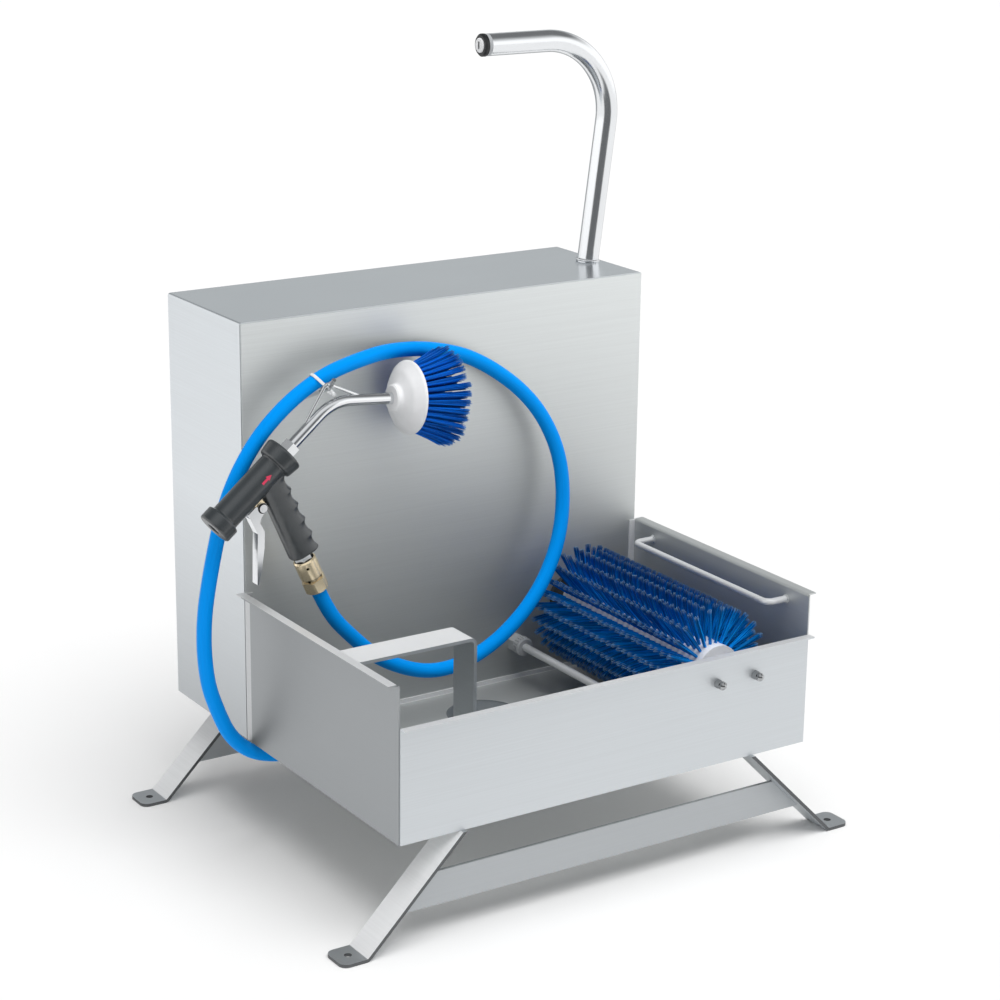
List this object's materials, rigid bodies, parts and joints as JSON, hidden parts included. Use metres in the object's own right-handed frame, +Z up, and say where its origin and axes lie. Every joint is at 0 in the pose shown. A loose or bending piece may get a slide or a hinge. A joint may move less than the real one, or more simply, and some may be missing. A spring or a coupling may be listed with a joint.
{
  "type": "boot washer",
  "caption": "Floor-standing stainless boot washer: open tray with a driven brush roller and footrest, service housing, handrail with start button, and a wash brush on a hose.",
  "frame": {"origin": "on the floor, midway between the four anchor holes in the feet", "axes": "+X to the right of a user who faces the housing, +Y to the back, +Z up"},
  "size_m": [0.895, 0.7145, 1.1513],
  "materials": {
    "stainless": "fine brushed",
    "polished_steel": "polished",
    "blue_bristle": "satin",
    "white_plastic": "satin",
    "grey_plastic": "satin",
    "black_plastic": "matt",
    "black_rubber": "satin",
    "blue_hose": "satin",
    "brass": "satin",
    "bronze": "plain",
    "aluminium": "cast",
    "painted_motor": "painted",
    "clear_nylon": "translucent"
  },
  "bodies": {
    "washer": {"front_left_leg": "stainless", "front_right_leg": "stainless", "rear_left_leg": "stainless", "rear_right_leg": "stainless", "front_crossbar": "stainless", "rear_crossbar": "stainless", "tray_floor": "stainless", "tray_front_wall": "stainless", "tray_left_wall": "stainless", "tray_right_wall": "stainless", "drain_outlet": "stainless", "footrest": "stainless", "boot_rail": "stainless", "housing_panel": "stainless", "housing_shell": "stainless", "housing_floor": "stainless", "back_cover": "stainless", "handle_tube": "stainless", "hose_hook": "stainless", "spray_pipe": "stainless", "spray_pipe_holder": "stainless", "motor_bracket": "stainless", "feed_pipe": "stainless", "hose_feed_pipe": "stainless", "cover_screws": "polished_steel", "bearing_studs": "polished_steel", "bearing_cap_nuts": "polished_steel", "front_bearing_block": "white_plastic", "switch_ferrule": "grey_plastic", "pipe_gland": "grey_plastic", "gland_nut": "grey_plastic", "control_box": "grey_plastic", "switch_bezel": "black_plastic", "switch_block": "black_plastic", "cable_gland": "black_plastic", "shaft_seal": "black_rubber", "hose": "blue_hose", "hose_elbow": "brass", "water_inlet": "brass", "solenoid_valve": "brass", "front_bearing_bush": "bronze", "gearbox": "aluminium", "motor": "painted_motor"},
    "roller": {"roller_core": "white_plastic", "roller_bristles": "blue_bristle", "roller_shaft": "stainless"},
    "start_button": {"start_button": "white_plastic"},
    "wash_gun": {"gun_cover": "black_rubber", "gun_valve_body": "brass", "lever_pin": "polished_steel", "lance_nut": "polished_steel", "lance_tube": "polished_steel", "hanger_wire": "polished_steel", "brush_head": "white_plastic", "hand_bristles": "blue_bristle", "coupling_nipple": "polished_steel", "hose_coupling": "brass", "cable_tie": "clear_nylon"},
    "gun_lever": {"gun_lever": "polished_steel"},
    "valve_spindle": {"valve_spindle": "polished_steel"}
  },
  "joints": [
    {"name": "roller_spin", "type": "hinge", "parent": "washer", "child": "roller", "pos_m": [0.217, 0, 0.281], "axis": [0, 1, 0], "continuous": true},
    {"name": "start_press", "type": "slide", "parent": "washer", "child": "start_button", "axis": [1, 0, 0], "range_m": [0, 0.003], "stiffness_N_per_m": 400, "springref_m": -0.002},
    {"name": "gun_unhook", "type": "slide", "parent": "washer", "child": "wash_gun", "axis": [0, -0.6247, 0.7809], "range_m": [0, 0.06], "deforming": ["hose"]},
    {"name": "lever_squeeze", "type": "hinge", "parent": "wash_gun", "child": "gun_lever", "pos_m": [-0.36401, 0.031, 0.53849], "axis": [0, -1, 0], "range_deg": [0, 18], "stiffness_Nm_per_rad": 1, "springref_deg": -5.73},
    {"name": "spindle_slide", "type": "slide", "parent": "wash_gun", "child": "valve_spindle", "axis": [-0.7683, 0, -0.6401], "range_m": [0, 0.004]}
  ],
  "couplings": [
    {"joint": "spindle_slide", "follows": "lever_squeeze", "m_per_rad": 0.0127}
  ]
}
